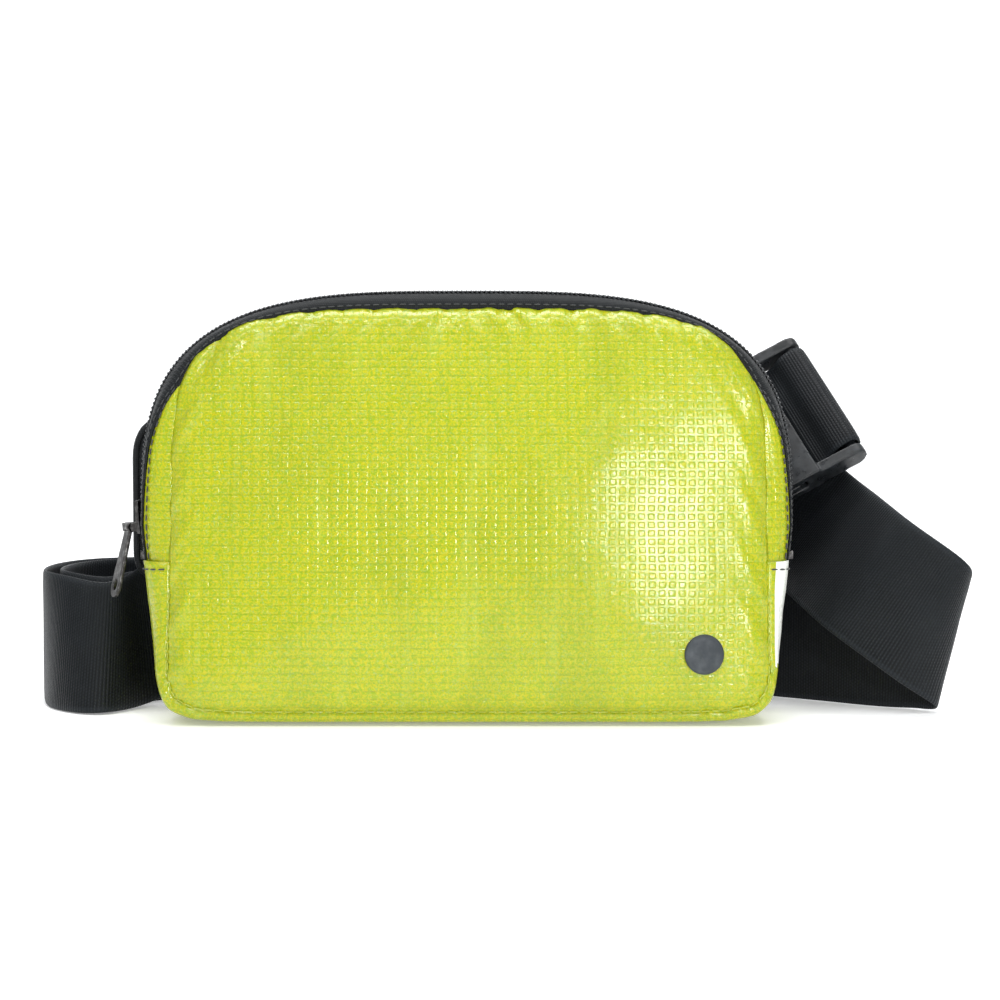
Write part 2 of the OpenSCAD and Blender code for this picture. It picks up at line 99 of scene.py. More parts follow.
class Shader:
    """A material with a Principled shader and short calls for the nodes that feed it."""

    def __init__(self, name, rough=0.5, metal=0.0, **constants):
        self.mat = bpy.data.materials.new(name)
        self.mat.use_nodes = True
        self.tree = self.mat.node_tree
        self.out = self.tree.nodes["Principled BSDF"]
        self.out.inputs["Roughness"].default_value = rough
        self.out.inputs["Metallic"].default_value = metal
        for key, value in constants.items():
            self.out.inputs[key.replace("_", " ")].default_value = value
        coords = self.tree.nodes.new("ShaderNodeTexCoord")
        self.place = coords.outputs["Object"]
        self.flat = coords.outputs["UV"]

    def put(self, socket, value):
        """Link a node's output to a socket, or set the socket to a constant."""
        if hasattr(value, "is_linked"):
            self.tree.links.new(value, socket)
        else:
            socket.default_value = value

    def math(self, kind, a, b=0.0, c=0.0):
        n = self.tree.nodes.new("ShaderNodeMath")
        n.operation = kind
        for socket, value in zip(n.inputs, (a, b, c)):
            self.put(socket, value)
        return n.outputs[0]

    def split(self, vector):
        n = self.tree.nodes.new("ShaderNodeSeparateXYZ")
        self.put(n.inputs[0], vector)
        return n.outputs

    def stretch(self, vector, scale):
        n = self.tree.nodes.new("ShaderNodeVectorMath")
        n.operation = "MULTIPLY"
        self.put(n.inputs[0], vector)
        n.inputs[1].default_value = scale
        return n.outputs[0]

    def noise(self, vector, per_mm, detail=2.0, rough=0.5):
        n = self.tree.nodes.new("ShaderNodeTexNoise")
        self.put(n.inputs["Vector"], vector)
        n.inputs["Scale"].default_value = per_mm / MM
        n.inputs["Detail"].default_value = detail
        n.inputs["Roughness"].default_value = rough
        return n.outputs["Fac"]

    def cells(self, vector, per_mm):
        n = self.tree.nodes.new("ShaderNodeTexVoronoi")
        self.put(n.inputs["Vector"], vector)
        n.inputs["Scale"].default_value = per_mm / MM
        return n.outputs["Distance"]

    def level(self, value, low, high, out_low=0.0, out_high=1.0):
        """Smooth step of a value between two levels."""
        n = self.tree.nodes.new("ShaderNodeMapRange")
        n.interpolation_type = "SMOOTHSTEP"
        self.put(n.inputs["Value"], value)
        for key, v in (("From Min", low), ("From Max", high), ("To Min", out_low), ("To Max", out_high)):
            n.inputs[key].default_value = v
        return n.outputs["Result"]

    def blend(self, factor, a, b):
        n = self.tree.nodes.new("ShaderNodeMix")
        n.data_type = "RGBA"
        self.put(n.inputs["Factor"], factor)
        for socket, value in ((n.inputs[COLOUR_A], a), (n.inputs[COLOUR_B], b)):
            self.put(socket, value if hasattr(value, "is_linked") else (*value, 1))
        return n.outputs[COLOUR_OUT]

    def wave(self, value, pitch_mm, shift=0.0):
        """0 to 1 sine along a coordinate in metres."""
        angle = self.math("MULTIPLY_ADD", value, 2 * math.pi / (pitch_mm * MM), shift)
        return self.math("MULTIPLY_ADD", self.math("SINE", angle), 0.5, 0.5)

    def bump(self, height, depth_mm, strength=1.0, base=None):
        n = self.tree.nodes.new("ShaderNodeBump")
        n.inputs["Distance"].default_value = depth_mm * MM
        n.inputs["Strength"].default_value = strength
        self.put(n.inputs["Height"], height)
        if base is not None:
            self.put(n.inputs["Normal"], base)
        return n.outputs[0]

    def colour(self, value):
        self.put(self.out.inputs["Base Color"], value)

    def roughness(self, value):
        self.put(self.out.inputs["Roughness"], value)

    def normal(self, value):
        """Bump for the base and, where there is one, for the clear coat."""
        self.put(self.out.inputs["Normal"], value)
        if self.out.inputs["Coat Weight"].default_value > 0:
            self.put(self.out.inputs["Coat Normal"], value)


def laminate(name, base, line, speckle, mist, grid=1.0):
    """Clear vinyl over a coloured cloth and a scrim of crossed threads. UVs are in metres."""
    warp_pitch, weft_pitch = 3.5, 3.0    # of the scrim, in millimetres
    s = Shader(name, rough=0.3, Coat_Weight=0.45, Coat_Roughness=0.12, Specular_IOR_Level=0.3)
    u, v, _ = s.split(s.flat)
    sway = s.math("MULTIPLY_ADD", s.noise(s.place, 0.05, 1), 0.0016, -0.0008)
    u = s.math("ADD", u, sway)
    v = s.math("ADD", v, s.math("MULTIPLY_ADD", s.noise(s.place, 0.043, 1), 0.0012, -0.0006))
    warp = s.level(s.wave(u, warp_pitch), 0.84, 1.0)
    stout = s.level(s.wave(u, 2 * warp_pitch), 0.5, 1.0)
    warp = s.math("MULTIPLY", warp, s.math("MULTIPLY_ADD", stout, 0.6, 0.25))
    weft = s.level(s.wave(v, weft_pitch), 0.80, 1.0)
    broken = s.level(s.noise(s.place, 0.45, 2, 0.6), 0.35, 0.6, 0.35, 1.0)
    threads = s.math("MULTIPLY", s.math("MAXIMUM", s.math("MULTIPLY", warp, 0.55), weft), broken)
    fine = s.noise(s.place, 1.3, 3, 0.75)
    patch = s.noise(s.stretch(s.place, (1, 1, 0.35)), 0.035, 3, 0.55)
    streak = s.noise(s.stretch(s.place, (1, 1, 0.05)), 0.12, 2, 0.6)
    grains = s.noise(s.place, 0.9, 2, 0.8)
    tint = s.blend(s.level(fine, 0.42, 0.58), base, speckle)
    tint = s.blend(s.level(grains, 0.55, 0.68, 0, 0.55), tint, mist)
    tint = s.blend(s.level(patch, 0.42, 0.75, 0, 0.22), tint, line)
    tint = s.blend(s.level(streak, 0.58, 0.72, 0, 0.16), tint, (0.42, 0.52, 0.09))
    tint = s.blend(s.math("MULTIPLY", threads, 0.30 * grid), tint, line)
    s.colour(tint)
    s.roughness(s.level(s.noise(s.place, 0.25, 3), 0.3, 0.75, 0.26, 0.44))
    cell_u, cell_v = s.wave(u, warp_pitch, math.pi), s.wave(v, weft_pitch, math.pi)
    swell = s.math("MULTIPLY", s.level(cell_u, 0.08, 0.62), s.level(cell_v, 0.06, 0.58))
    uneven = s.level(s.noise(s.place, 0.3, 2, 0.6), 0.3, 0.7, 0.55, 1.0)
    dome = s.math("MULTIPLY", s.math("MULTIPLY", cell_u, cell_v), 0.12)
    height = s.math("MULTIPLY", s.math("ADD", swell, dome), uneven)
    low = s.bump(s.noise(s.place, 0.09, 3, 0.5), 0.5, 0.5)
    s.normal(s.bump(height, 0.15, 1.0, s.bump(fine, 0.10, 0.4, low)))
    return s.mat


def webbing():
    """Nylon webbing with fine staggered ribs. UVs run along and across it, in metres."""
    s = Shader("webbing", rough=0.5, Sheen_Weight=0.02, Sheen_Roughness=0.4, Specular_IOR_Level=0.14)
    u, v, _ = s.split(s.flat)
    half = s.math("ABSOLUTE", v)
    brick = s.math("MULTIPLY", s.level(s.wave(u, 2.2), 0.4, 0.6), 0.0006)
    rib = s.wave(u, 1.1)
    yarn = s.wave(s.math("ADD", v, brick), 1.2)
    weave = s.math("MULTIPLY", rib, s.math("MULTIPLY_ADD", yarn, 0.55, 0.45))
    upper = s.level(v, -0.0004, 0.0004)
    selvage = s.level(half, 0.0225, 0.0235)
    fuzz = s.noise(s.place, 1.4, 4, 0.7)
    wear = s.noise(s.place, 0.05, 3, 0.6)
    tint = s.blend(s.level(weave, 0.0, 0.9), (0.003, 0.0038, 0.0044), (0.011, 0.0135, 0.0155))
    tint = s.blend(s.math("MULTIPLY", upper, 0.25), tint, (0.006, 0.008, 0.010))
    tint = s.blend(s.level(wear, 0.45, 0.8, 0, 0.3), tint, (0.016, 0.019, 0.022))
    tint = s.blend(s.math("MULTIPLY", selvage, 0.35), tint, (0.020, 0.024, 0.028))
    s.colour(tint)
    s.roughness(s.level(fuzz, 0.2, 0.8, 0.34, 0.52))
    s.normal(s.bump(weave, 0.22, 0.8, s.bump(fuzz, 0.05, 0.5)))
    return s.mat


def woven(name, dark, light, pitch=0.9, shine=0.6, sheen=0.25):
    """Plain-weave cloth that needs no UVs."""
    s = Shader(name, rough=shine, Sheen_Weight=sheen, Sheen_Roughness=0.4, Specular_IOR_Level=0.2)
    x, y, z = s.split(s.place)
    run = s.math("ADD", x, s.math("MULTIPLY", y, 0.8))
    rise = s.math("ADD", z, s.math("MULTIPLY", y, 0.5))
    weave = s.math("MULTIPLY", s.wave(run, pitch), s.wave(rise, pitch))
    fuzz = s.noise(s.place, 1.2, 4, 0.7)
    fade = s.noise(s.place, 0.04, 3, 0.6)
    tint = s.blend(s.level(weave, 0.05, 0.8), dark, light)
    tint = s.blend(s.level(fade, 0.4, 0.8, 0, 0.4), tint, light)
    s.colour(tint)
    s.roughness(s.level(fuzz, 0.2, 0.8, shine - 0.1, shine + 0.15))
    s.normal(s.bump(weave, 0.18, 0.8, s.bump(fuzz, 0.08, 0.6)))
    return s.mat


def air_mesh(name, dark, light):
    """Spacer mesh with small round holes, for the padded back."""
    s = Shader(name, rough=0.8, Sheen_Weight=0.4, Sheen_Roughness=0.5)
    hole = s.level(s.cells(s.place, 0.42), 0.12, 0.42)
    fuzz = s.noise(s.place, 1.0, 4, 0.7)
    s.colour(s.blend(s.math("MULTIPLY", hole, s.level(fuzz, 0.2, 0.8, 0.5, 1)), dark, light))
    s.roughness(s.level(fuzz, 0.2, 0.8, 0.7, 0.9))
    s.normal(s.bump(hole, 0.5, 0.8, s.bump(fuzz, 0.1, 0.5)))
    return s.mat


def moulded(name, dark, light, shine=0.4, grain=1.1):
    """Injection-moulded plastic with a fine spark-eroded grain and a mottled tone."""
    s = Shader(name, rough=shine, Specular_IOR_Level=0.35)
    fine = s.noise(s.place, grain, 4, 0.65)
    cloud = s.noise(s.place, 0.12, 4, 0.65)
    s.colour(s.blend(s.level(cloud, 0.35, 0.75), dark, light))
    s.roughness(s.level(s.noise(s.place, 0.3, 3), 0.3, 0.7, shine - 0.1, shine + 0.12))
    s.normal(s.bump(fine, 0.05, 0.5, s.bump(cloud, 0.2, 0.25)))
    return s.mat


def cast_metal(name, dark, light, shine=0.34):
    """Plated zinc with fine scratches and worn, brighter places."""
    s = Shader(name, rough=shine, metal=1.0)
    scratch = s.noise(s.stretch(s.place, (1, 1, 0.12)), 2.2, 4, 0.7)
    worn = s.noise(s.place, 0.35, 4, 0.7)
    s.colour(s.blend(s.level(worn, 0.4, 0.75), dark, light))
    s.roughness(s.level(scratch, 0.3, 0.7, shine - 0.1, shine + 0.15))
    s.normal(s.bump(scratch, 0.03, 0.6, s.bump(worn, 0.06, 0.4)))
    return s.mat


def cellular(name, dark, light):
    """Open foam with small pores."""
    s = Shader(name, rough=0.9)
    hole = s.cells(s.place, 1.1)
    s.colour(s.blend(s.level(hole, 0.1, 0.6), light, dark))
    s.normal(s.bump(hole, 0.3, 0.8))
    return s.mat


def spun(name, dark, light):
    """Sewing thread: two plies and a slight shine."""
    s = Shader(name, rough=0.55, Sheen_Weight=0.3)
    x, y, z = s.split(s.place)
    ply = s.wave(s.math("ADD", x, s.math("ADD", y, z)), 0.45)
    s.colour(s.blend(ply, dark, light))
    s.normal(s.bump(ply, 0.08, 0.8))
    return s.mat


LIME = laminate("lime_laminate", (0.262, 0.372, 0.003), (0.130, 0.200, 0.003), (0.470, 0.430, 0.001),
                (0.290, 0.440, 0.110))
PALE = laminate("pale_laminate", (0.780, 0.800, 0.740), (0.560, 0.600, 0.480), (0.86, 0.87, 0.82),
                (0.74, 0.78, 0.72), 0.5)
WEB = webbing()
TAPE = woven("zip_tape_weave", (0.003, 0.004, 0.0045), (0.013, 0.016, 0.018), 0.8, 0.5, 0.06)
CLOTH = woven("pack_cloth", (0.005, 0.006, 0.007), (0.021, 0.024, 0.027), 1.1, 0.6, 0.08)
BINDING = woven("binding_tape", (0.004, 0.005, 0.006), (0.016, 0.018, 0.020), 0.7, 0.58, 0.08)
LINING = woven("lining_cloth", (0.045, 0.050, 0.056), (0.110, 0.120, 0.130), 0.6, 0.7, 0.2)
MESH = air_mesh("air_mesh", (0.004, 0.005, 0.005), (0.040, 0.045, 0.048))
FOAM = cellular("foam", (0.10, 0.10, 0.11), (0.24, 0.25, 0.26))
PLASTIC = moulded("buckle_plastic", (0.006, 0.007, 0.008), (0.024, 0.027, 0.030), 0.36)
COIL = moulded("zip_coil_nylon", (0.007, 0.008, 0.009), (0.034, 0.038, 0.041), 0.34, 2.0)
METAL = cast_metal("gunmetal", (0.045, 0.043, 0.042), (0.20, 0.195, 0.19))
RUBBER = moulded("badge_rubber", (0.030, 0.036, 0.042), (0.065, 0.074, 0.082), 0.55)
THREAD = spun("black_thread", (0.004, 0.005, 0.005), (0.035, 0.038, 0.040))
GREY_THREAD = spun("grey_thread", (0.014, 0.016, 0.018), (0.055, 0.060, 0.065))
LIME_THREAD = spun("lime_thread", (0.30, 0.37, 0.02), (0.55, 0.62, 0.06))


# ---------------------------------------------------------------- mesh helpers
def rows_of(rows, wrap=False):
    """Vertices and quads of a grid of points; wrap joins its last column to its first."""
    wide = len(rows[0])
    faces = []
    for i in range(len(rows) - 1):
        for j in range(wide if wrap else wide - 1):
            k = (j + 1) % wide
            faces.append((i * wide + j, i * wide + k, (i + 1) * wide + k, (i + 1) * wide + j))
    return [p for row in rows for p in row], faces


def make(name, points, faces, mats, body="bag", uvs=None, face_mat=None, outward=None):
    """A piece from points in millimetres. outward is a point that its faces look away from."""
    mesh = bpy.data.meshes.new(name)
    mesh.from_pydata([Vector(p) * MM for p in points], [], faces)
    mesh.update()
    if uvs is not None:
        layer = mesh.uv_layers.new(name="cloth")
        for loop in mesh.loops:
            layer.data[loop.index].uv = (uvs[loop.vertex_index][0] * MM, uvs[loop.vertex_index][1] * MM)
    for mat in mats if isinstance(mats, (list, tuple)) else [mats]:
        mesh.materials.append(mat)
    if face_mat is not None:
        for face in mesh.polygons:
            face.material_index = face_mat(face.index, face.center / MM)
    if outward is not None:
        side = sum((f.center / MM - Vector(outward)).dot(f.normal) * f.area for f in mesh.polygons)
        if side < 0:
            mesh.flip_normals()
    for face in mesh.polygons:
        face.use_smooth = True
    obj = bpy.data.objects.new(name, mesh)
    scene.collection.objects.link(obj)
    if body is not None:
        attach(obj, body)
    return obj


def thicken(obj, thick, offset=-1.0):
    mod = obj.modifiers.new("thickness", "SOLIDIFY")
    mod.thickness = thick * MM
    mod.offset = offset
    return obj


def smoothstep(low, high, value):
    t = min(1.0, max(0.0, (value - low) / (high - low)))
    return t * t * (3 - 2 * t)


def ripple(x, z, size, seed=0.0):
    return noise.noise(Vector((x / size, seed, z / size)))


def curve_at(p0, p1, p2, p3, t):
    return 0.5 * (2 * p1 + (p2 - p0) * t + (2 * p0 - 5 * p1 + 4 * p2 - p3) * t * t
                  + (3 * p1 - p0 - 3 * p2 + p3) * t * t * t)


def smooth_line(points, sub):
    """Catmull-Rom curve through points."""
    points = [Vector(p) for p in points]
    last = len(points) - 1
    line = [curve_at(points[max(i - 1, 0)], points[i], points[i + 1], points[min(i + 2, last)], j / sub)
            for i in range(last) for j in range(sub)]
    return line + [points[last]]


def even_line(points, step):
    """The same polyline with points a fixed step apart."""
    points = [Vector(p) for p in points]
    out, spare = [points[0]], step
    for a, b in zip(points, points[1:]):
        length = (b - a).length
        while length > 0 and spare <= length:
            out.append(a + (b - a) * (spare / length))
            spare += step
        spare -= length
    return out


def tube(name, path, radius, mat, sides=8, closed=False, squash=1.0):
    """A round tube along a path in millimetres, with flat caps where it is open."""
    path = [Vector(p) for p in path]
    count = len(path)
    rows = []
    normal = None
    for i, p in enumerate(path):
        a = path[(i - 1) % count] if closed else path[max(i - 1, 0)]
        b = path[(i + 1) % count] if closed else path[min(i + 1, count - 1)]
        along = (b - a).normalized()
        if normal is None:
            normal = along.orthogonal().normalized()
        normal = (normal - along * normal.dot(along)).normalized()
        other = along.cross(normal)
        rows.append([p + normal * (radius * math.cos(t)) + other * (radius * squash * math.sin(t))
                     for t in (2 * math.pi * k / sides for k in range(sides))])
    if closed:
        rows.append(rows[0])
    points, faces = rows_of(rows, wrap=True)
    if not closed:
        faces += [tuple(range(sides))[::-1], tuple(range(len(points) - sides, len(points)))]
    return make(name, points, faces, mat)


def stitches(name, path, mat, length=2.4, gap=1.0, radius=0.32):
    """A row of stitches along a path: one small rounded grain for each stitch."""
    step = 0.2
    line = even_line(path, step)
    stride = max(2, round((length + gap) / step))
    reach = round(length / step)
    points, faces = [], []
    for start in range(0, len(line) - reach, stride):
        a, b = line[start], line[start + reach]
        along = (b - a).normalized()
        side = along.orthogonal().normalized()
        other = along.cross(side)
        base = len(points)
        for t, r in ((0.0, 0.35), (0.12, 0.85), (0.5, 1.0), (0.88, 0.85), (1.0, 0.35)):
            mid = a + (b - a) * t
            points += [mid + (side * math.cos(turn) + other * math.sin(turn)) * radius * r
                       for turn in (k * math.pi / 3 for k in range(6))]
        for i in range(4):
            for k in range(6):
                p, q = base + 6 * i + k, base + 6 * i + (k + 1) % 6
                faces.append((p, q, q + 6, p + 6))
        faces += [tuple(base + k for k in range(5, -1, -1)), tuple(base + 24 + k for k in range(6))]
    return make(name, points, faces, mat)


# ---------------------------------------------------------------- bag outlines, in millimetres
def span(node, axis):
    low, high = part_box(node)
    return low[axis] / MM, high[axis] / MM


HALF_W = span("zip_tape_front", 0)[1]
TOP = span("zip_tape_front", 2)[1] - 0.5
Y_FRONT = span("front_panel", 1)[0]
PANEL_HALF = span("front_panel", 0)[1] - 0.5
PANEL_TOP = TOP - 5.0
ZIP_LOW = span("zip_tape_front", 2)[0]
TAPE_Y = span("zip_tape_front", 1)
BACK_TAPE_Y = span("zip_tape_back", 1)
WAIST = 70.0
FLARE = 0.062
LEAN = math.radians(6.2)
FOOT_Z = 1.8          # where the leaning front is furthest forward
SEAM_Z = 4.6
BAG_POWER = 3.25      # roundness of the shoulders; a higher power is squarer
PANEL_POWER = 4.5
LOW_POWER = 13
PANEL_FLARE = -0.015
PANEL_SHIFT = 0.8
CENTRE = (0, 0, WAIST)


def outline(phi, half, top, low, n_top, flare):
    """Point of a flat-bottomed, round-shouldered outline at an angle round its waist."""
    c, s = math.cos(phi), math.sin(phi)
    height, n = (top - WAIST, n_top) if s > 0 else (WAIST - low, LOW_POWER)
    r = (abs(c / half) ** n + abs(s / height) ** n) ** (-1 / n)
    z = WAIST + r * s
    return r * c * (1 - flare * max(0.0, WAIST - z) / WAIST), z


def bag_edge(phi, grow=0.0):
    return outline(phi, HALF_W + grow, TOP + grow, -grow, BAG_POWER, FLARE)


def panel_edge(phi, grow=0.0):
    x, z = outline(phi, PANEL_HALF + grow, PANEL_TOP + grow, SEAM_Z - grow, PANEL_POWER, PANEL_FLARE)
    return x + PANEL_SHIFT, z


def half_at(z, half, top, low, n_top, flare):
    """Half width of an outline at a height."""
    if z > WAIST:
        return half * max(0.0, 1 - ((z - WAIST) / (top - WAIST)) ** n_top) ** (1 / n_top)
    taper = 1 - flare * (WAIST - z) / WAIST
    return half * taper * max(0.0, 1 - ((WAIST - z) / (WAIST - low)) ** LOW_POWER) ** (1 / LOW_POWER)


def bag_half(z):
    return half_at(z, HALF_W, TOP, 0.0, BAG_POWER, FLARE)


def panel_half(z):
    return half_at(z, PANEL_HALF, PANEL_TOP, SEAM_Z, PANEL_POWER, PANEL_FLARE)


def front_y(z):
    """Y of the front panel's seam at a height; the panel leans back towards its top."""
    return Y_FRONT + (z - FOOT_Z) * math.tan(LEAN)


def angle_at(z, edge):
    """Angle on the right side at which an outline has a height."""
    low, high = -1.2, 1.2
    for _ in range(40):
        mid = (low + high) / 2
        if edge(mid)[1] < z:
            low = mid
        else:
            high = mid
    return low


# ---------------------------------------------------------------- laminate shell
CROWN = 6.5
EDGE_ROLL = 4.0


def edge_roll(z):
    return EDGE_ROLL - 2.2 * smoothstep(26, 6, z)


def panel_bulge(x, z, rho):
    """How far the front panel stands out; rho is 0 at its middle and 1 at its seam."""
    crown = CROWN * (1 - rho ** 2.4)
    belly = 2.6 * math.exp(-((x - 45) ** 2 + (z - 66) ** 2) / 3600) * (1 - rho ** 4)
    hollow = -1.3 * math.exp(-((x + 62) ** 2 / 900 + (z - 112) ** 2 / 500)) * (1 - rho ** 4)
    folds = 0.9 * ripple(x, z * 0.6, 38, 2.0) + 0.16 * ripple(x, z, 13, 5.0)
    roll = -edge_roll(z) * max(0.0, (rho - 0.93) / 0.07) ** 2
    return crown + belly + hollow + folds * (1 - rho ** 8) + roll


def seam_pucker(x, z, rho):
    """Gathers of the laminate along its sewn edge."""
    near = smoothstep(0.86, 0.965, rho) * (1 - 0.5 * smoothstep(0.98, 1.0, rho))
    top = smoothstep(95, 130, z)
    low = smoothstep(30, 12, z) * (0.35 + 0.65 * smoothstep(78, 98, abs(x)))
    run = x + (z - WAIST) * 0.6 * (1 if x > 0 else -1)
    wave = math.sin(run * 2 * math.pi / 12.5 + 2.2 * ripple(x, z, 26, 9.0))
    fine = math.sin(run * 2 * math.pi / 5.3 + 3.0 * ripple(x, z, 14, 2.5))
    sides = 0.75 * smoothstep(88, 103, abs(x)) * smoothstep(20, 34, z)
    uneven = 0.5 + 1.2 * abs(ripple(x, z, 30, 4.0))
    return near * (1.3 * top + 0.9 * low + sides) * (wave + 0.45 * fine) * uneven


def on_panel(x, z, rho):
    out = panel_bulge(x, z, rho) + seam_pucker(x, z, rho)
    return Vector((x, front_y(z) - out * math.cos(LEAN), z + out * math.sin(LEAN) * 0.5))


def front_panel():
    """Crowned and gathered front, from its middle out to its rolled edge."""
    turns, rings = 320, 70
    rows, uv = [], []
    for i in range(rings + 1):
        rho = (i / rings) ** 0.8 if i else 0.012
        row = []
        for j in range(turns):
            x, z = panel_edge(2 * math.pi * j / turns)
            x, z = x * rho, WAIST + (z - WAIST) * rho
            row.append(on_panel(x, z, rho))
            uv.append((x, z))
        rows.append(row)
    points, faces = rows_of(rows, wrap=True)
    points.append(on_panel(0, WAIST, 0))
    uv.append((0, WAIST))
    hub = len(points) - 1
    faces += [(hub, (j + 1) % turns, j) for j in range(turns)]
    obj = make("front_laminate", points, faces, LIME, uvs=uv, outward=(0, 40, WAIST))
    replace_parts(thicken(obj, 1.2), "front_panel")


def tape_inset(z):
    """How far in from the bag's edge the front tape is sewn down."""
    return 0.7 + 1.6 * smoothstep(66, 108, z) + 4.0 * smoothstep(98, 126, z)


TAPE_SEAM_Y = TAPE_Y[0] + 0.6


def side_strip(side, name, node):
    """Narrow strip of laminate between the front panel and the zip tape."""
    rows, uv = [], []
    low, high = ZIP_LOW - 2.2, 128.0
    count = 46
    for i in range(count + 1):
        z = low + (high - low) * i / count
        x0, y0 = panel_half(z) + side * PANEL_SHIFT - 0.8, front_y(z) + EDGE_ROLL - 0.4
        x1, y1 = max(bag_half(z) - tape_inset(z), x0 + 0.6), TAPE_SEAM_Y + 0.8
        row = []
        for j in range(15):
            t = j / 14
            swell = 1.3 * math.sin(math.pi * t) * smoothstep(high, 110, z)
            crease = 0.35 * ripple(t * 20, z, 9, 3.0 + side) * math.sin(math.pi * t)
            x = x0 + (x1 - x0) * t + (swell + crease) * 0.75
            y = y0 + (y1 - y0) * t - (swell + crease) * 0.7
            row.append((side * x, y, z))
            uv.append((t * 12 + 1.2, z))
        rows.append(row)
    points, faces = rows_of(rows)
    obj = make(name, points, faces, LIME, uvs=uv, outward=(0, 10, WAIST))
    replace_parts(thicken(obj, 1.1), node)
    seam = [Vector(row[11]) + Vector((side * 0.35, -0.4, 0)) for row in rows[2:-4]]
    stitches(name + "_topstitch", seam, THREAD)


GUSSET_HIGH = ZIP_LOW + 0.4
GUSSET_BACK_Y = 22.0
GUSSET_FLOOR = 0.25
FOLD_Y = -9.0         # where the gusset's round front fold ends


def bottom_gusset():
    """Laminate that runs from one side under the bag to the other."""
    turns = 240
    front_a, back_a = angle_at(GUSSET_HIGH, panel_edge), angle_at(GUSSET_HIGH, bag_edge)
    rows, uv = [], []
    arc, last = 0.0, None
    for i in range(turns + 1):
        t = i / turns
        pa = math.pi - front_a + (2 * front_a + math.pi) * t
        ba = math.pi - back_a + (2 * back_a + math.pi) * t
        sx, sz = panel_edge(pa, -0.6)
        mx, mz = bag_edge(ba)
        lift = max(0.0, 1 - mz / 8) * 0.6
        corner = smoothstep(70, 104, abs(mx)) * smoothstep(34, 8, mz)
        here = Vector((mx, mz))
        arc += 0.0 if last is None else (here - last).length
        last = here
        row = []
        sy = front_y(sz) + edge_roll(sz) - 0.6
        full = 0.55 + 0.45 * smoothstep(14, 40, mz)
        for j in range(13):
            q = j / 12 * math.pi / 2
            out, back = math.sin(q) ** full, (1 - math.cos(q)) ** (1 / full)
            phase = arc * 2 * math.pi / 9.5 + 2 * ripple(mx, mz, 20, 7)
            gather = 0.55 * corner * math.sin(phase) * math.cos(q)
            x = sx + (mx - sx) * out
            z = sz + (mz - sz) * out + gather * 0.6 + lift * math.sin(q)
            y = sy + (FOLD_Y - sy) * back - gather
            wave = 0.4 * ripple(x, z + y, 15, 1.0)
            x += wave * (1 if x > 0 else -1) * smoothstep(60, 100, abs(x))
            row.append(Vector((x, y, max(z, GUSSET_FLOOR))))
            uv.append((j / 12 * 15, arc))
        for j in range(1, 12):
            t = j / 11
            sag = math.sin(math.pi * t) * 0.8
            inner = Vector((0, 0, 0)) if mz > 66 else Vector((-1 if mx > 0 else 1, 0, 0)) * sag
            flat = smoothstep(12, 2, mz)
            x = mx + inner.x * (1 - flat)
            y = FOLD_Y + (GUSSET_BACK_Y - FOLD_Y) * t
            row.append(Vector((x, y, max(mz + lift + 0.3 * flat * sag, GUSSET_FLOOR))))
            uv.append((15 + t * 31, arc))
        rows.append(row)
    points, faces = rows_of(rows)

    columns = len(rows[0]) - 1

    def panel_of(index, c):
        """The pale patch starts behind the first fold of the right side and ends above the floor."""
        return 1 if c.x > 60 and c.z > 21 and index % columns > 2 else 0

    obj = make("gusset_laminate", points, faces, [LIME, PALE], uvs=uv, face_mat=panel_of, outward=(0, 0, 40))
    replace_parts(thicken(obj, 1.1), "bottom_gusset")
    seam = [rows[i][0] + Vector((0, -0.5, 0)) for i in range(8, turns - 7)]
    stitches("gusset_seam_thread", seam, LIME_THREAD, length=2.8, gap=0.9, radius=0.22)
    for side, pick in ((-1, rows[2]), (1, rows[-3])):
        line = [p + Vector((side * 0.45, -0.3, 0)) for p in pick[1:-2]]
        where = "left" if side < 0 else "right"
        stitches("gusset_top_thread_" + where, line, THREAD)


# ---------------------------------------------------------------- zip
def arch(count, low):
    """Points of the zip line from its left end over the top to its right end, with outward directions."""
    a = angle_at(low, bag_edge)
    line = [Vector((p[0], 0, p[1])) for p in
            (bag_edge(math.pi - a - (math.pi - 2 * a) * i / count) for i in range(count + 1))]
    line = even_line(line, 1.0)
    out = []
    for i, p in enumerate(line):
        d = line[min(i + 1, len(line) - 1)] - line[max(i - 1, 0)]
        out.append((p, Vector((-d.z, 0, d.x)).normalized()))
    return out


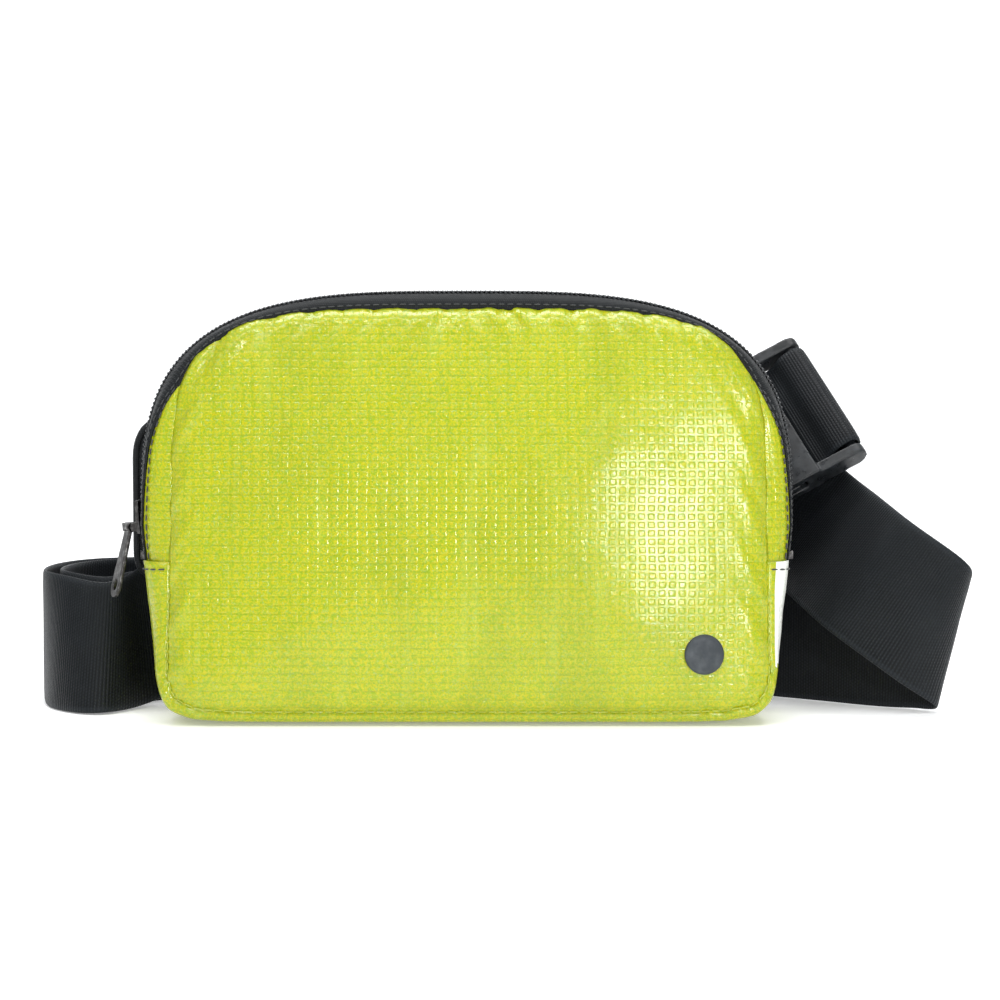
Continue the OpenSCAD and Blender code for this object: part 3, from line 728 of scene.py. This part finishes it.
def zip_tapes():
    """Front tape from the laminate's seam up to the coil, and the flatter rear tape."""
    rows, uv = [], []
    for p, n in arch(420, ZIP_LOW):
        inset = tape_inset(p.z)
        inner = p - n * inset
        w = smoothstep(116, 132, p.z)
        phi = math.atan2(p.z - WAIST, p.x)
        px, pz = panel_edge(phi, -1.5)
        inner = inner.lerp(Vector((px, 0, pz)), w)
        y0 = TAPE_SEAM_Y + (front_y(pz) + EDGE_ROLL - 0.4 - TAPE_SEAM_Y) * w
        crinkle = 0.25 * ripple(p.x, p.z, 8, 6.0)
        row = []
        for j in range(11):
            t = j / 10
            swell = (1.5 + crinkle) * math.sin(math.pi * t)
            q = inner.lerp(p, t ** 0.9)
            y = y0 + (TAPE_Y[1] - 0.2 - y0) * t ** 1.5 - swell * 0.75
            row.append(q + n * (swell * 0.35 - 0.2) + Vector((0, y, 0)))
            uv.append((t * 10, p.x))
        rows.append(row)
    points, faces = rows_of(rows)
    obj = make("zip_tape_front_cloth", points, faces, TAPE, uvs=uv, outward=(0, 30, WAIST))
    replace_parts(thicken(obj, 0.9), "zip_tape_front")
    stitches("zip_front_stitch", [row[3] + Vector((0, -0.25, 0)) for row in rows[3:-3]], THREAD,
                     length=2.2, gap=1.1, radius=0.22)
    rows = []
    for p, n in arch(420, ZIP_LOW):
        rows.append([p + n * (0.5 * math.sin(math.pi * j / 8) - 0.2)
                     + Vector((0, BACK_TAPE_Y[0] + 0.2 + (BACK_TAPE_Y[1] - BACK_TAPE_Y[0]) * j / 8, 0))
                     for j in range(9)])
    points, faces = rows_of(rows)
    obj = make("zip_tape_back_cloth", points, faces, TAPE, outward=CENTRE)
    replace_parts(thicken(obj, 0.9), "zip_tape_back")
    line = [row[6] + (row[6] - Vector(CENTRE)).normalized() * 0.2 for row in rows[3:-3]]
    stitches("zip_back_stitch", line, GREY_THREAD, length=2.2, gap=1.1, radius=0.22)


def zip_coils():
    """Two nylon coils whose turns mesh in the middle of the zip."""
    line = arch(600, ZIP_LOW + 4.2)
    pitch, per_turn = 1.7, 10
    for side, name in ((-1, "front"), (1, "back")):
        path = []
        for i in range(int(len(line) / pitch) * per_turn):
            s = i * pitch / per_turn
            k = min(int(s), len(line) - 2)
            p = line[k][0].lerp(line[k + 1][0], s - k)
            n = line[k][1]
            a = 2 * math.pi * i / per_turn + (math.pi if side > 0 else 0)
            reach = Vector((0, side * (1.42 + 1.45 * math.sin(a)), 0))
            path.append(p + n * (0.55 * math.cos(a) + 0.1) + reach)
        obj = tube("zip_coil_%s_nylon" % name, path, 0.42, COIL, sides=6)
        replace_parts(obj, "zip_coil_" + name)


# ---------------------------------------------------------------- back of the bag
def back_gusset():
    """Cloth between the rear zip tape and the back, sagging a little between its seams."""
    front, rear = BACK_TAPE_Y[1] + 0.1, 22.3
    rows = []
    for p, n in arch(420, ZIP_LOW + 0.3):
        row = []
        for j in range(13):
            t = j / 12
            sag = 1.1 * math.sin(math.pi * t) + 0.35 * ripple(p.x + t * 20, p.z, 14, 8.0)
            row.append(p - n * (sag + 0.2) + Vector((0, front + (rear - front) * t, 0)))
        rows.append(row)
    points, faces = rows_of(rows)
    obj = make("back_gusset_cloth", points, faces, CLOTH, outward=CENTRE)
    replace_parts(thicken(obj, 1.0), "back_gusset")


PAD_Y, FOAM_Y, BINDING_Y = 24.6, 22.7, 24.2


def pillow(name, edge, mat, y_mid, thick, crown_front, crown_back, quilt=0.0, rings=34, turns=200):
    """Closed padded form inside an outline, crowned on both faces; edge gives (x, z) at an angle."""
    rows = []
    grid = [math.sin(math.pi / 2 * i / rings) for i in range(rings + 1)]
    for face, crown in ((-1, crown_front), (1, crown_back)):
        for rho in (grid if face < 0 else grid[::-1][1:]):
            rho = max(rho, 0.01)
            row = []
            for j in range(turns):
                x, z = edge(2 * math.pi * j / turns)
                x, z = x * rho, WAIST + (z - WAIST) * rho
                full = (1 - rho ** 12) ** 0.5
                groove = quilt * math.exp(-((abs(x) - 36) / 2.2) ** 2) * smoothstep(1.0, 0.9, rho)
                groove += quilt * math.exp(-((z - 84) / 2.2) ** 2) * smoothstep(1.0, 0.9, rho) * (abs(x) < 36)
                rise = thick / 2 * full + crown * (1 - rho ** 2) - (groove if face > 0 else 0)
                rise += 0.25 * ripple(x, z, 16, 3.0 * face) * full
                row.append(Vector((x, y_mid + face * rise, z)))
            rows.append(row)
    points, faces = rows_of(rows, wrap=True)
    faces += [tuple(range(turns))[::-1], tuple(range(len(points) - turns, len(points)))]
    return make(name, points, faces, mat, outward=(0, y_mid, WAIST))


def back_of_bag():
    """Quilted back pad, the foam on its inner side, and the binding round their edge."""
    pad = pillow("back_pad", lambda a: bag_edge(a, -3.2), MESH, PAD_Y, 2.4, 0.0, 1.0, quilt=1.1)
    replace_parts(pad, "back_panel")
    foam = pillow("foam_core", lambda a: bag_edge(a, -6.0), FOAM, FOAM_Y, 1.2, 0.0, 0.0, rings=16, turns=120)
    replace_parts(foam, "back_foam")

    def around(inset, y):
        turns = 360
        edge = (bag_edge(2 * math.pi * i / turns, -inset) for i in range(turns))
        return [Vector((x, y, z)) for x, z in edge]

    path = [p + Vector((0, 0.15 * ripple(p.x, p.z, 7, 2.0), 0)) for p in around(1.6, BINDING_Y)]
    band = tube("back_binding_tape", path, 1.75, BINDING, sides=14, closed=True, squash=1.25)
    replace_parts(band, "back_binding")
    thread = stitches("back_binding_thread", around(2.9, BINDING_Y + 2.05), GREY_THREAD, radius=0.26)


def inner_pocket():
    """Lining sheet sewn at three sides, slack at its top hem."""
    low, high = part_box("inner_pocket")
    x0, x1, z0, z1 = low.x / MM, high.x / MM, low.z / MM, high.z / MM
    rows = []
    for i in range(25):
        v = i / 24
        row = []
        for u in (j / 40 for j in range(41)):
            slack = math.sin(math.pi * u)
            y = low.y / MM - 2.6 * slack * v ** 2 + 0.5 * ripple(u * 60, v * 40, 12)
            row.append(Vector((x0 + (x1 - x0) * u, y, z0 + (z1 - z0) * v - 3.0 * slack * v ** 3)))
        rows.append(row)
    points, faces = rows_of(rows)
    obj = thicken(make("pocket_sheet", points, faces, LINING), 0.5, 0)
    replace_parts(obj, "inner_pocket")
    hem = tube("pocket_hem", rows[-1], 1.2, BINDING, sides=8, squash=1.2)


# ---------------------------------------------------------------- webbing
UPRIGHT = (0, 0, 1)
LEANING = (0, 0.28, 0.96)
WEB_W = 50.0
WEB_T = 1.6
ADJ_Y, ADJ_Z = 84.2, 32.0
FOLD_R = 3.8          # of webbing round an adjuster bar
BETWEEN = 7           # points from one station to the next
STRAP_Y = 29.9
BAR_MID = Vector((135.7, 56, 114))
TURN = Matrix.Rotation(math.radians(-28), 3, "Y") @ Matrix.Rotation(math.radians(52), 3, "X")
BAR_AXIS = tuple(TURN @ Vector((0, 1, 0)))
WRAP_R = 3.9          # of webbing round a buckle bar
PLUG_BAR_X = -71


def in_buckle(x, y, z):
    """A place in the buckle's own frame, whose origin is the middle of the socket's bar."""
    return tuple(BAR_MID + TURN @ Vector((x, y, z)))


# Each station is the middle of the webbing and the direction across it. The routes repeat the CAD's,
# but two stations of the left loop sit up to about 2 mm off it.
LEFT_ROUTE = [
    ((-58, STRAP_Y, 76), (-0.64, 0, 0.77)), ((-82, STRAP_Y, 56), (-0.64, 0, 0.77)),
    ((-104, STRAP_Y + 1.4, 37), (-0.5, 0, 0.86)), ((-120, 27.2, 27), (-0.14, 0.06, 0.98)),
    ((-134, 12.5, 23.8), (0, 0.38, 0.925)), ((-151, 20, 24.6), (0.05, 0.2, 0.98)),
    ((-161, 40, 25), UPRIGHT), ((-161, 68, 25), UPRIGHT), ((-150, 90, 25), UPRIGHT),
    ((-128, 99, 25), UPRIGHT), ((-90, 97, 26), UPRIGHT), ((-50, 92, 29), UPRIGHT),
    ((-18, 88.4, ADJ_Z), UPRIGHT), ((2, ADJ_Y + FOLD_R, ADJ_Z), UPRIGHT)]
TAIL_ROUTE = [
    ((2, ADJ_Y - FOLD_R, ADJ_Z), UPRIGHT), ((-18, 81, ADJ_Z), UPRIGHT), ((-50, 85.5, 29), UPRIGHT),
    ((-90, 91, 26), UPRIGHT), ((-126, 93.5, 25), UPRIGHT), ((-145, 86, 25), UPRIGHT),
    ((-155, 66, 25), UPRIGHT), ((-155, 43, 25), UPRIGHT), ((-147, 27, 24.6), (0.05, 0.2, 0.98)),
    ((-135, 22, 24.3), LEANING), ((-126, 31, 25), (-0.05, 0.12, 1)), ((-118, 39, 25), UPRIGHT),
    ((-106, 46, 25), UPRIGHT)]
RIGHT_ROUTE = [
    ((66, 78, 29), UPRIGHT), ((88, 68.5, 26), UPRIGHT), ((110, 56, 25), UPRIGHT), ((132, 40, 25), UPRIGHT),
    ((152, 25, 25), (0.02, 0, 1)), ((167, 18, 25.2), (0.08, 0, 1)), ((178, 8, 26.5), (0.23, 0, 0.97)),
    ((167, 0, 36), (0.5, 0, 0.86)), ((148, 9, 50), (0.61, 0, 0.79)), ((138, 26, 59), (0.61, 0, 0.79)),
    ((129, 47, 67.6), (0.57, 0.02, 0.82)), ((118, 62, 81), (0.35, 0.15, 0.92)),
    (in_buckle(-40, -5, -20), (0, 0.4, 0.92)), (in_buckle(-44, -2, -14), (-0.25, 0.55, 0.8)),
    (in_buckle(-36, 0, -9), BAR_AXIS)]
BUCKLE_END = [
    (in_buckle(-36, 0, -9), BAR_AXIS), (in_buckle(-20, 0, -7.6), BAR_AXIS),
    (in_buckle(-9, 0, -6.5), BAR_AXIS), (in_buckle(-3.2, 0, -4.5), BAR_AXIS)] + [
    (in_buckle(WRAP_R * math.cos(a), 0, WRAP_R * math.sin(a)), BAR_AXIS)
    for a in (math.radians(d) for d in range(-90, 91, 30))] + [
    (in_buckle(-5, 0, 2.8), BAR_AXIS), (in_buckle(-9.5, 0, -0.6), BAR_AXIS),
    (in_buckle(-13.9, 0, -2.4), BAR_AXIS)]
TAB_ROUTE = [
    ((44, STRAP_Y, 66), (-0.47, 0, 0.88)), ((54, STRAP_Y + 5, 71.5), (-0.46, 0.1, 0.87)),
    (in_buckle(PLUG_BAR_X - 9, 0, 2.6), BAR_AXIS), (in_buckle(PLUG_BAR_X, 0, WRAP_R), BAR_AXIS)] + [
    (in_buckle(PLUG_BAR_X + WRAP_R * math.cos(a), 0, WRAP_R * math.sin(a)), BAR_AXIS)
    for a in (math.radians(d) for d in range(60, -61, -30))] + [
    (in_buckle(PLUG_BAR_X, 0, -WRAP_R), BAR_AXIS), (in_buckle(PLUG_BAR_X - 9, 0, -1.6), BAR_AXIS)]


def bar_turn(x, way):
    """Stations of webbing turned round an adjuster bar."""
    return [((x + way * FOLD_R * math.cos(a), ADJ_Y + way * FOLD_R * math.sin(a), ADJ_Z), UPRIGHT)
            for a in (math.radians(d) for d in (60, 30, 0, -30, -60))]


def ribbon(name, stations, body="bag"):
    """Webbing swept through stations, with rounded edges and UVs along and across it."""
    mids, wides = (smooth_line(part, BETWEEN) for part in zip(*stations))
    steps = [-1, -0.985, -0.94, -0.8, -0.6, -0.4, -0.2, 0, 0.2, 0.4, 0.6, 0.8, 0.94, 0.985, 1]
    ring = [(v, 1) for v in steps] + [(v, -1) for v in steps[-2:0:-1]]
    rows, uv, run = [], [], 0.0
    for i, mid in enumerate(mids):
        along = (mids[min(i + 1, len(mids) - 1)] - mids[max(i - 1, 0)]).normalized()
        across = wides[i].normalized()
        face = along.cross(across).normalized()
        run += (mid - mids[i - 1]).length if i else 0.0
        row = []
        for v, way in ring:
            half = WEB_T / 2 * (1 - abs(v) ** 24) ** 0.5 if abs(v) < 1 else 0.0
            wavy = 0.18 * ripple(run, v * 25, 17, 1.5) * smoothstep(1.0, 0.9, abs(v) * 0.5)
            row.append(mid + across * (v * WEB_W / 2) + face * (way * half + wavy))
            uv.append((run, v * WEB_W / 2))
        rows.append(row)
    points, faces = rows_of(rows, wrap=True)
    wide = len(ring)
    faces += [tuple(range(wide))[::-1], tuple(range(len(points) - wide, len(points)))]
    obj = make(name, points, faces, WEB, body, uvs=uv)
    return obj


def on_ribbon(stations, span_from, span_to, v, lift):
    """Line along a ribbon at a place across it, lifted off its face; for stitching."""
    mids, wides = (smooth_line(part, BETWEEN) for part in zip(*stations))
    line = []
    for i in range(int(span_from * (len(mids) - 1)), int(span_to * (len(mids) - 1)) + 1):
        along = (mids[min(i + 1, len(mids) - 1)] - mids[max(i - 1, 0)]).normalized()
        across = wides[i].normalized()
        line.append(mids[i] + across * (v * WEB_W / 2) + along.cross(across).normalized() * lift)
    return line


def belts():
    """Four lengths of webbing. The end that turns round the socket's bar is laid out in the socket's frame
    and attached to no body.
    """
    left = ribbon("belt_left", LEFT_ROUTE + bar_turn(4, 1) + TAIL_ROUTE)
    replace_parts(left, "strap_left_end", "strap_left_loop", "strap_far_run", "strap_adjuster_fold",
                "strap_tail")
    turned = [((62, 84.6, 30.5), UPRIGHT), ((50, 87.4, 31.6), UPRIGHT),
              ((43, ADJ_Y + FOLD_R, ADJ_Z), UPRIGHT)]
    turned += bar_turn(40, -1)[::-1] + [((44, ADJ_Y - FOLD_R, ADJ_Z), UPRIGHT)]
    right = ribbon("belt_right", turned + RIGHT_ROUTE)
    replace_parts(right, "strap_adjuster_loop", "strap_back_run", "strap_right_turn", "strap_rise",
                "strap_buckle_return")
    end = ribbon("belt_buckle_end", BUCKLE_END, body=None)
    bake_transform(end)
    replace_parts(end, "strap_bar_wrap")
    tab = ribbon("belt_tab", TAB_ROUTE)
    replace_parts(tab, "buckle_tab")
    for k, v in enumerate((-0.9, 0.9)):
        line = on_ribbon(TAIL_ROUTE, 0.93, 0.995, v, WEB_T / 2 + 0.1)
        stitches("belt_tail_stitch_%d" % k, line, GREY_THREAD, radius=0.25)


# ---------------------------------------------------------------- wings
def wing(side, name, node):
    """Padded cloth wing that joins the belt to the back of the bag."""
    low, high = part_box(node)
    y = (low.y + high.y) / 2 / MM
    reach = -124 if side < 0 else -119
    corner = [(reach, 52), (reach, 98), (reach + 4, 106), (-93, 106), (-38, 92), (-38, 40), (-99, 34)]
    mid = Vector((-84, 72))
    dense = []
    for i, a in enumerate(corner):
        b = Vector(corner[(i + 1) % len(corner)])
        a = Vector(a)
        steps = max(3, round((b - a).length / 2.5))
        dense += [a.lerp(b, k / steps) for k in range(steps)]
    for _ in range(3):
        dense = [(dense[i - 1] + dense[i] * 2 + dense[(i + 1) % len(dense)]) / 4 for i in range(len(dense))]
    rows = []
    rings = [math.sin(math.pi / 2 * i / 18) for i in range(19)]
    for face in (-1, 1):
        for rho in (rings if face < 0 else rings[::-1][1:]):
            rho = max(rho, 0.015)
            row = []
            for p in dense:
                q = mid + (p - mid) * rho
                full = (1 - rho ** 10) ** 0.5
                pad = 1.0 * full + 0.3 * (1 - rho ** 2) * (1 if face < 0 else 0.3)
                row.append(Vector((-side * q.x, y + face * pad + 0.1 * ripple(q.x, q.y, 12) * full, q.y)))
            rows.append(row)
    points, faces = rows_of(rows, wrap=True)
    count = len(dense)
    faces += [tuple(range(count))[::-1], tuple(range(len(points) - count, len(points)))]
    obj = make(name, points, faces, CLOTH, outward=(-side * mid.x, y, mid.y))
    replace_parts(obj, node)
    edge = [Vector((-side * p.x, y, p.y)) for p in dense]
    rim = tube(name + "_rim", edge, 1.1, BINDING, closed=True, squash=1.5)
    inset = [mid + (p - mid) * 0.93 for p in dense]
    line = [Vector((-side * p.x, y - 1.35, p.y)) for p in inset + inset[:1]]
    stitches(name + "_thread", line, GREY_THREAD, radius=0.26, length=2.0, gap=1.2)


# ---------------------------------------------------------------- badge
def badge():
    """Plain, slightly domed rubber disc, low on the front, that follows the laminate."""
    low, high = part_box("badge")
    bx, bz = (low.x + high.x) / 2 / MM, (low.z + high.z) / 2 / MM
    # radius and height of rings from the middle to the edge
    profile = [(0.0, 1.2), (2.0, 1.19), (4.0, 1.15), (5.2, 1.1), (6.0, 1.03), (6.5, 0.93), (6.8, 0.75),
               (7.0, 0.45), (7.05, -0.8)]
    rows = []
    turns = 56
    for r, rise in profile:
        row = []
        for k in range(turns):
            a = 2 * math.pi * k / turns
            x, z = bx + max(r, 0.02) * math.cos(a), bz + max(r, 0.02) * math.sin(a)
            rho = max(abs(x) / panel_half(z), (WAIST - z) / (WAIST - SEAM_Z))
            base = on_panel(x, z, min(1.0, rho))
            row.append(base + Vector((0, -rise - 0.25, 0)))
        rows.append(row)
    points, faces = rows_of(rows, wrap=True)
    points = points + [sum((rows[0][k] for k in range(turns)), Vector()) / turns]
    faces += [(len(points) - 1, (k + 1) % turns, k) for k in range(turns)]
    obj = make("badge_disc", points, faces, RUBBER, outward=(bx, 0, bz))
    thicken(obj, 0.4)
    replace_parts(obj, "badge")


# ---------------------------------------------------------------- carried-over hard parts
def finish_hard_parts():
    """Moulded and cast parts keep their CAD meshes; a fine remesh and smoothing round every edge."""
    # material, remesh grid in millimetres, and smoothing passes
    table = {
        "zip_slider": (METAL, 0.20, 6), "pull_tab": (METAL, 0.20, 6),
        "zip_stop_left": (METAL, 0.2, 5), "zip_stop_right": (METAL, 0.2, 5),
        "adjuster": (PLASTIC, 0.45, 6), "buckle_socket": (PLASTIC, 0.45, 12),
        "buckle_plug": (PLASTIC, 0.45, 8), "prong_upper": (PLASTIC, 0.35, 6),
        "prong_lower": (PLASTIC, 0.35, 6)}
    for node, (mat, grid_mm, passes) in table.items():
        obj = bpy.data.objects[node]
        obj.data.materials.clear()
        obj.data.materials.append(mat)
        grid = obj.modifiers.new("grid", "REMESH")
        grid.mode = "VOXEL"
        grid.voxel_size = grid_mm * MM
        grid.use_smooth_shade = True
        soften = obj.modifiers.new("soften", "SMOOTH")
        soften.factor = 0.5
        soften.iterations = passes


# ---------------------------------------------------------------- floor
def floor():
    """Plain pale floor that sweeps up into a backdrop."""
    s = Shader("pale_floor", rough=0.7, Emission_Color=(1, 1, 1, 1), Emission_Strength=0.22)
    s.colour(s.blend(s.level(s.noise(s.place, 0.004, 2), 0.3, 0.7), (0.93, 0.935, 0.94), (0.95, 0.955, 0.96)))
    wide, back, bend, high = 2600, 1500, 500, 2400
    level = -0.2
    side = [(-wide, level)] + [(back + bend * math.sin(a), level + bend * (1 - math.cos(a)))
                               for a in (math.pi / 2 * i / 16 for i in range(17))] + [(back + bend, high)]
    rows = [[(x, y, z) for x in (-wide, wide)] for y, z in side]
    points, faces = rows_of(rows)
    make("floor", points, faces, s.mat, body=None)


front_panel()
side_strip(-1, "side_laminate_left", "side_strip_left")
side_strip(1, "side_laminate_right", "side_strip_right")
bottom_gusset()
zip_tapes()
zip_coils()
back_gusset()
back_of_bag()
inner_pocket()
wing(-1, "wing_pad_left", "wing_left")
wing(1, "wing_pad_right", "wing_right")
belts()
badge()
finish_hard_parts()
floor()
